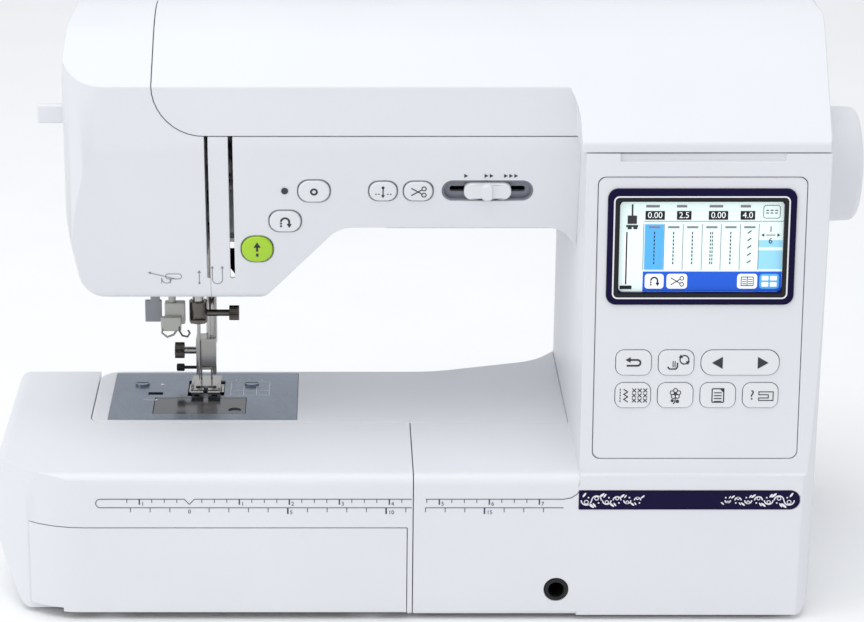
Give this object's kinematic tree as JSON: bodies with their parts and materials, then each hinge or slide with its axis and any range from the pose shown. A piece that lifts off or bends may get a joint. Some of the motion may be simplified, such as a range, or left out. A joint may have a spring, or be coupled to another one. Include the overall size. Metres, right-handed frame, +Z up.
{
  "type": "sewing machine",
  "caption": "Computerised sewing machine with a free arm, slide-off flat bed, hinged top lid, colour touch panel with keys, arm buttons, handwheel and carrying handle.",
  "frame": {"origin": "centre of the machine on the table it stands on", "axes": "+X to the handwheel, -Y to the person sewing, +Z up"},
  "size_m": [0.455, 0.2142, 0.2996],
  "materials": {
    "white_shell": "moulded, very fine grain, satin",
    "white_gloss": "moulded, smooth",
    "grey_plastic": "moulded, fine grain",
    "black_plastic": "moulded, fine grain",
    "smoked_cover": "smoked clear, polished",
    "clear_plastic": "clear, polished",
    "navy_gloss": "printed and lacquered",
    "lime_gloss": "lit from behind, smooth",
    "display_glass": "touch panel, lit",
    "circuit_green": "solder mask",
    "rubber": "matt",
    "plate_steel": "fine brushed along its length",
    "chrome": "bright plated",
    "machined_steel": "turned and ground",
    "cast_alloy": "die cast"
  },
  "bodies": {
    "housing": {"base_pan": "grey_plastic", "rubber_feet": "rubber", "front_cover": "white_shell", "rear_cover": "white_shell", "face_cover": "white_shell", "free_arm_cover": "white_shell", "inner_deck": "grey_plastic", "machine_frame": "cast_alloy", "control_panel": "white_gloss", "lcd_bezel": "navy_gloss", "lcd_screen": "display_glass", "main_board": "circuit_green", "needle_plate": "plate_steel", "bobbin_case": "black_plastic", "main_motor": "black_plastic", "belts": "rubber", "side_sockets": "grey_plastic", "trim_strip": "navy_gloss", "speed_slot": "grey_plastic"},
    "lid": {"top_lid": "white_shell"},
    "flatbed": {"flatbed_attachment": "white_shell"},
    "door": {"accessory_door": "white_shell"},
    "handwheel": {"handwheel": "white_gloss", "main_shaft": "machined_steel"},
    "lower_shaft": {"lower_shaft": "machined_steel"},
    "hook": {"rotary_hook": "machined_steel"},
    "motor_pulley": {"motor_pulley": "cast_alloy"},
    "needle_bar_frame": {"needle_bar_frame": "grey_plastic"},
    "needle_bar": {"needle_bar": "chrome", "needle_clamp": "chrome", "needle": "chrome"},
    "presser_bar": {"presser_bar": "chrome"},
    "presser_foot": {"presser_foot": "chrome"},
    "presser_lever": {"presser_lever": "grey_plastic"},
    "take_up_lever": {"take_up_lever": "chrome"},
    "feed_bar": {"feed_bar": "machined_steel"},
    "feed_dog": {"feed_dog": "chrome"},
    "bobbin_cover": {"bobbin_cover": "smoked_cover"},
    "bobbin": {"bobbin": "clear_plastic"},
    "threader_lever": {"threader_lever": "white_shell"},
    "threader_head": {"threader_head": "clear_plastic"},
    "buttonhole_lever": {"buttonhole_lever": "grey_plastic"},
    "carry_handle": {"carry_handle": "white_shell"},
    "spool_cap": {"spool_cap": "white_shell"},
    "winder": {"winder": "white_shell"},
    "power_switch": {"power_switch": "black_plastic"},
    "knee_socket": {"knee_socket": "black_plastic"},
    "speed_slider": {"speed_slider": "white_gloss"},
    "start_button": {"start_button": "lime_gloss"},
    "reverse_button": {"reverse_button": "white_gloss"},
    "reinforce_button": {"reinforce_button": "white_gloss"},
    "needle_button": {"needle_button": "white_gloss"},
    "cutter_button": {"cutter_button": "white_gloss"},
    "key_back": {"key_back": "white_gloss"},
    "key_exchange": {"key_exchange": "white_gloss"},
    "key_pages": {"key_pages": "white_gloss"},
    "key_stitches": {"key_stitches": "white_gloss"},
    "key_embroidery": {"key_embroidery": "white_gloss"},
    "key_settings": {"key_settings": "white_gloss"},
    "key_help": {"key_help": "white_gloss"}
  },
  "joints": [
    {"name": "lid_hinge", "type": "hinge", "parent": "housing", "child": "lid", "pos_m": [0, 0.078, 0.272], "axis": [-1, 0, 0], "range_deg": [0, 80]},
    {"name": "flatbed_slide", "type": "slide", "parent": "housing", "child": "flatbed", "axis": [-1, 0, 0], "range_m": [0, 0.2]},
    {"name": "door_hinge", "type": "hinge", "parent": "flatbed", "child": "door", "pos_m": [-0.1, -0.101, 0.007], "axis": [1, 0, 0], "range_deg": [0, 75]},
    {"name": "handwheel_spin", "type": "hinge", "parent": "housing", "child": "handwheel", "pos_m": [0, 0.013, 0.21], "axis": [1, 0, 0], "continuous": true},
    {"name": "lower_shaft_spin", "type": "hinge", "parent": "housing", "child": "lower_shaft", "pos_m": [0, 0.021, 0.026], "axis": [1, 0, 0], "continuous": true},
    {"name": "hook_spin", "type": "hinge", "parent": "housing", "child": "hook", "pos_m": [-0.12, -0.0062, 0.05], "axis": [0, 0, 1], "continuous": true},
    {"name": "motor_spin", "type": "hinge", "parent": "housing", "child": "motor_pulley", "pos_m": [0, -0.025, 0.12], "axis": [1, 0, 0], "continuous": true},
    {"name": "zigzag_swing", "type": "hinge", "parent": "housing", "child": "needle_bar_frame", "pos_m": [-0.122, 0, 0.23], "axis": [0, -1, 0], "range_deg": [0, 2.7]},
    {"name": "needle_bar_slide", "type": "slide", "parent": "needle_bar_frame", "child": "needle_bar", "axis": [0, 0, 1], "range_m": [-0.031, 0]},
    {"name": "presser_bar_slide", "type": "slide", "parent": "housing", "child": "presser_bar", "axis": [0, 0, 1], "range_m": [0, 0.006]},
    {"name": "presser_lever_turn", "type": "hinge", "parent": "housing", "child": "presser_lever", "pos_m": [-0.1, 0.048, 0.171], "axis": [0, -1, 0], "range_deg": [0, 60]},
    {"name": "presser_foot_tilt", "type": "hinge", "parent": "presser_bar", "child": "presser_foot", "pos_m": [-0.1185, 0.023, 0.0905], "axis": [1, 0, 0], "range_deg": [-3, 3]},
    {"name": "take_up_swing", "type": "hinge", "parent": "housing", "child": "take_up_lever", "pos_m": [-0.1137, -0.005, 0.204], "axis": [1, 0, 0], "range_deg": [0, 55]},
    {"name": "feed_bar_slide", "type": "slide", "parent": "housing", "child": "feed_bar", "axis": [0, 1, 0], "range_m": [-0.002, 0.002]},
    {"name": "feed_dog_lift", "type": "slide", "parent": "feed_bar", "child": "feed_dog", "axis": [0, 0, 1], "range_m": [-0.001, 0.001]},
    {"name": "bobbin_cover_lift", "type": "slide", "parent": "housing", "child": "bobbin_cover", "axis": [0, 0, 1], "range_m": [0, 0.01]},
    {"name": "bobbin_spin", "type": "hinge", "parent": "housing", "child": "bobbin", "pos_m": [-0.12, -0.0062, 0.06], "axis": [0, 0, 1], "continuous": true},
    {"name": "threader_slide", "type": "slide", "parent": "housing", "child": "threader_lever", "axis": [0, 0, -1], "range_m": [0, 0.045]},
    {"name": "threader_head_slide", "type": "slide", "parent": "housing", "child": "threader_head", "axis": [0, 0, -1], "range_m": [0, 0.025]},
    {"name": "buttonhole_lever_slide", "type": "slide", "parent": "housing", "child": "buttonhole_lever", "axis": [0, 0, -1], "range_m": [0, 0.035]},
    {"name": "carry_handle_turn", "type": "hinge", "parent": "housing", "child": "carry_handle", "pos_m": [0.068, 0.1, 0.236], "axis": [1, 0, 0], "range_deg": [0, 180]},
    {"name": "spool_cap_slide", "type": "slide", "parent": "housing", "child": "spool_cap", "axis": [1, 0, 0], "range_m": [-0.03, 0.018]},
    {"name": "winder_spin", "type": "hinge", "parent": "housing", "child": "winder", "pos_m": [0.146, -0.007, 0.25], "axis": [0, 0, 1], "continuous": true},
    {"name": "power_switch_rock", "type": "hinge", "parent": "housing", "child": "power_switch", "pos_m": [0.1875, 0.056, 0.0505], "axis": [0, 0, 1], "range_deg": [-6, 6]},
    {"name": "knee_socket_turn", "type": "hinge", "parent": "housing", "child": "knee_socket", "pos_m": [0.0655, -0.092, 0.017], "axis": [0, 1, 0], "range_deg": [0, 30], "stiffness_Nm_per_rad": 0.5},
    {"name": "start_press", "type": "slide", "parent": "housing", "child": "start_button", "axis": [0, 0.981, 0.1939], "range_m": [0, 0.0009], "stiffness_N_per_m": 300},
    {"name": "reverse_press", "type": "slide", "parent": "housing", "child": "reverse_button", "axis": [0, 0.981, 0.1939], "range_m": [0, 0.0009], "stiffness_N_per_m": 300},
    {"name": "reinforce_press", "type": "slide", "parent": "housing", "child": "reinforce_button", "axis": [0, 0.981, 0.1939], "range_m": [0, 0.0009], "stiffness_N_per_m": 300},
    {"name": "needle_press", "type": "slide", "parent": "housing", "child": "needle_button", "axis": [0, 0.981, 0.1939], "range_m": [0, 0.0009], "stiffness_N_per_m": 300},
    {"name": "cutter_press", "type": "slide", "parent": "housing", "child": "cutter_button", "axis": [0, 0.981, 0.1939], "range_m": [0, 0.0009], "stiffness_N_per_m": 300},
    {"name": "speed_slide", "type": "slide", "parent": "housing", "child": "speed_slider", "axis": [1, 0, 0], "range_m": [-0.0095, 0.0095]},
    {"name": "key_back_press", "type": "slide", "parent": "housing", "child": "key_back", "axis": [0, 0.9962, -0.0872], "range_m": [0, 0.0006], "stiffness_N_per_m": 300},
    {"name": "key_exchange_press", "type": "slide", "parent": "housing", "child": "key_exchange", "axis": [0, 0.9962, -0.0872], "range_m": [0, 0.0006], "stiffness_N_per_m": 300},
    {"name": "key_pages_press", "type": "slide", "parent": "housing", "child": "key_pages", "axis": [0, 0.9962, -0.0872], "range_m": [0, 0.0006], "stiffness_N_per_m": 300},
    {"name": "key_stitches_press", "type": "slide", "parent": "housing", "child": "key_stitches", "axis": [0, 0.9962, -0.0872], "range_m": [0, 0.0006], "stiffness_N_per_m": 300},
    {"name": "key_embroidery_press", "type": "slide", "parent": "housing", "child": "key_embroidery", "axis": [0, 0.9962, -0.0872], "range_m": [0, 0.0006], "stiffness_N_per_m": 300},
    {"name": "key_settings_press", "type": "slide", "parent": "housing", "child": "key_settings", "axis": [0, 0.9962, -0.0872], "range_m": [0, 0.0006], "stiffness_N_per_m": 300},
    {"name": "key_help_press", "type": "slide", "parent": "housing", "child": "key_help", "axis": [0, 0.9962, -0.0872], "range_m": [0, 0.0006], "stiffness_N_per_m": 300}
  ],
  "couplings": [
    {"joint": "lower_shaft_spin", "follows": "handwheel_spin", "ratio": 1},
    {"joint": "hook_spin", "follows": "handwheel_spin", "ratio": 2},
    {"joint": "motor_spin", "follows": "handwheel_spin", "ratio": 3.25},
    {"joint": "presser_lever_turn", "follows": "presser_bar_slide", "rad_per_m": 174.53},
    {"joint": "threader_head_slide", "follows": "threader_slide", "ratio": 0.5556}
  ]
}
